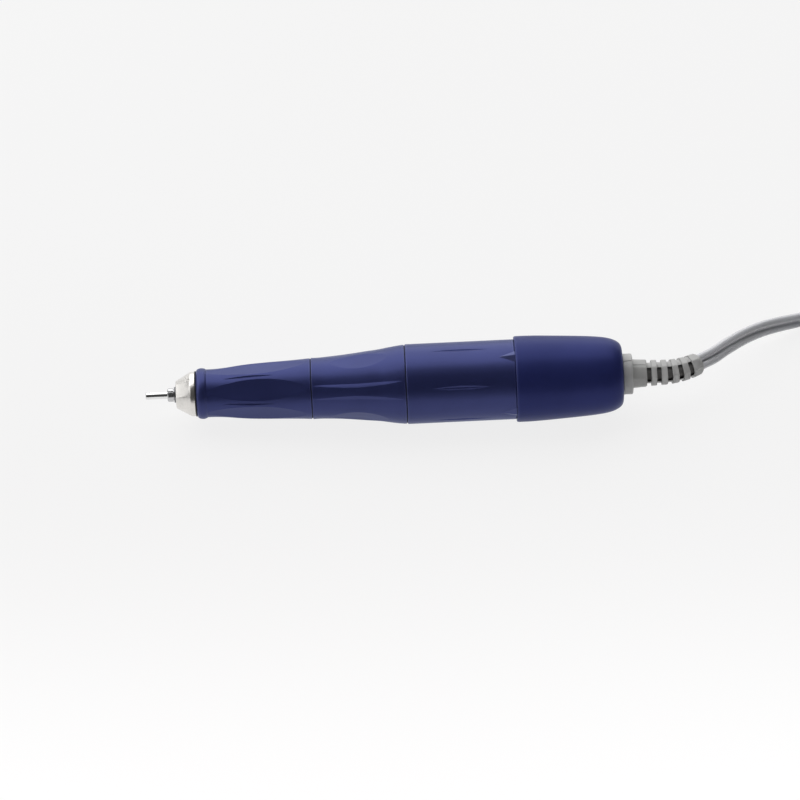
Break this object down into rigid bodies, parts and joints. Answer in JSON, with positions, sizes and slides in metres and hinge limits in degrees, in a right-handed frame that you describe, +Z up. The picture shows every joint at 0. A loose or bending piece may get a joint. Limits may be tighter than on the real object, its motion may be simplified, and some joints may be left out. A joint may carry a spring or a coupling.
{
  "type": "electric nail drill",
  "caption": "Electric nail drill handpiece with a collet for small burs, a twist sleeve that opens it, a motor housing and a coiled two-core cord with a plug.",
  "frame": {"origin": "on the floor under the middle of the handpiece, measured without its cord", "axes": "+X along the handpiece towards its cord, which lies 1.6 degrees off level as it rests, +Z up"},
  "size_m": [0.2983, 0.0807, 0.0282],
  "materials": {
    "anodised_blue": "satin blue moulding",
    "nickel": "satin nickel plate",
    "polished_steel": "polished steel",
    "steel": "turned steel",
    "black_rubber": "black rubber",
    "grey_rubber": "soft grey PVC",
    "grey_cord": "smooth grey PVC",
    "dark_plastic": "dark moulded plastic",
    "white_plastic": "white moulded plastic",
    "copper": "copper",
    "brass": "brass",
    "ferrite": "sintered ferrite",
    "carbon": "pressed carbon"
  },
  "bodies": {
    "handpiece": {"spindle_housing": "steel", "nose_cone": "nickel", "nose_seal_ring": "black_rubber", "front_grip": "anodised_blue", "motor_housing": "anodised_blue", "rear_cap": "anodised_blue", "spindle_front_bearing_outer_ring": "polished_steel", "spindle_rear_bearing_outer_ring": "polished_steel", "motor_can": "steel", "motor_front_plate": "steel", "magnet_front": "ferrite", "magnet_back": "ferrite", "motor_front_bearing_outer_ring": "polished_steel", "motor_rear_bearing_outer_ring": "polished_steel", "rear_end_bell": "dark_plastic", "brush_holder_front": "brass", "brush_holder_back": "brass", "brush_cap_front": "brass", "brush_cap_back": "brass", "brush_spring_front": "steel", "brush_spring_back": "steel", "cord_boot": "grey_rubber", "cord_inside": "grey_cord", "cord_crimp": "steel", "lead_front": "copper", "lead_back": "copper", "cord_lead": "grey_cord", "cord_coil": "grey_cord", "cord_tie": "black_rubber", "cord_tail": "grey_cord", "plug_body": "dark_plastic", "plug_shell": "polished_steel", "plug_insert": "white_plastic"},
    "spindle": {"spindle": "polished_steel", "drive_dog": "steel", "collet_spring": "steel", "spindle_front_bearing_inner_ring": "polished_steel", "spindle_rear_bearing_inner_ring": "polished_steel"},
    "collet": {"collet": "steel", "draw_bar": "steel", "cross_pin": "polished_steel"},
    "bur": {"bur_shank": "polished_steel"},
    "collar": {"collar": "anodised_blue", "cam_ring": "steel"},
    "release": {"push_sleeve": "steel", "guide_pin_top": "polished_steel", "guide_pin_bottom": "polished_steel"},
    "rotor": {"motor_shaft": "polished_steel", "drive_fork": "steel", "armature_core": "steel", "windings": "copper", "commutator": "copper", "motor_front_bearing_inner_ring": "polished_steel", "motor_rear_bearing_inner_ring": "polished_steel"},
    "spindle_front_cage": {"spindle_front_bearing_cage": "brass"},
    "spindle_rear_cage": {"spindle_rear_bearing_cage": "brass"},
    "motor_front_cage": {"motor_front_bearing_cage": "brass"},
    "motor_rear_cage": {"motor_rear_bearing_cage": "brass"},
    "brush_front": {"brush_front": "carbon"},
    "brush_back": {"brush_back": "carbon"}
  },
  "joints": [
    {"name": "rotor_spin", "type": "hinge", "parent": "handpiece", "child": "rotor", "pos_m": [0.01489, 0, 0.01363], "axis": [-0.9996, 0, -0.0275], "continuous": true},
    {"name": "spindle_spin", "type": "hinge", "parent": "handpiece", "child": "spindle", "pos_m": [-0.04779, 0, 0.0119], "axis": [-0.9996, 0, -0.0275], "continuous": true},
    {"name": "collar_twist", "type": "hinge", "parent": "handpiece", "child": "collar", "pos_m": [-0.02215, 0, 0.01261], "axis": [-0.9996, 0, -0.0275], "range_deg": [0, 60]},
    {"name": "release_slide", "type": "slide", "parent": "handpiece", "child": "release", "axis": [-0.9996, 0, -0.0275], "range_m": [0, 0.0008]},
    {"name": "collet_slide", "type": "slide", "parent": "spindle", "child": "collet", "axis": [-0.9996, 0, -0.0275], "range_m": [0, 0.0008], "deforming": ["collet_spring"]},
    {"name": "bur_pull", "type": "slide", "parent": "collet", "child": "bur", "axis": [-0.9996, 0, -0.0275], "range_m": [0, 0.025]},
    {"name": "spindle_front_cage_spin", "type": "hinge", "parent": "handpiece", "child": "spindle_front_cage", "pos_m": [-0.06768, 0, 0.01136], "axis": [-0.9996, 0, -0.0275], "continuous": true},
    {"name": "spindle_rear_cage_spin", "type": "hinge", "parent": "handpiece", "child": "spindle_rear_cage", "pos_m": [-0.03029, 0, 0.01239], "axis": [-0.9996, 0, -0.0275], "continuous": true},
    {"name": "motor_front_cage_spin", "type": "hinge", "parent": "handpiece", "child": "motor_front_cage", "pos_m": [-0.0016, 0, 0.01318], "axis": [-0.9996, 0, -0.0275], "continuous": true},
    {"name": "motor_rear_cage_spin", "type": "hinge", "parent": "handpiece", "child": "motor_rear_cage", "pos_m": [0.03888, 0, 0.01429], "axis": [-0.9996, 0, -0.0275], "continuous": true},
    {"name": "brush_front_slide", "type": "slide", "parent": "handpiece", "child": "brush_front", "axis": [0, -1, 0], "range_m": [0, 0.0015], "stiffness_N_per_m": 100, "springref_m": -0.001, "deforming": ["brush_spring_front"]},
    {"name": "brush_back_slide", "type": "slide", "parent": "handpiece", "child": "brush_back", "axis": [0, 1, 0], "range_m": [0, 0.0015], "stiffness_N_per_m": 100, "springref_m": -0.001, "deforming": ["brush_spring_back"]}
  ],
  "couplings": [
    {"joint": "spindle_spin", "follows": "rotor_spin", "ratio": 1},
    {"joint": "spindle_front_cage_spin", "follows": "rotor_spin", "ratio": 0.419},
    {"joint": "spindle_rear_cage_spin", "follows": "rotor_spin", "ratio": 0.419},
    {"joint": "motor_front_cage_spin", "follows": "rotor_spin", "ratio": 0.413},
    {"joint": "motor_rear_cage_spin", "follows": "rotor_spin", "ratio": 0.413},
    {"joint": "collar_twist", "follows": "release_slide", "rad_per_m": 1308.9},
    {"joint": "collet_slide", "follows": "release_slide", "ratio": 1}
  ]
}
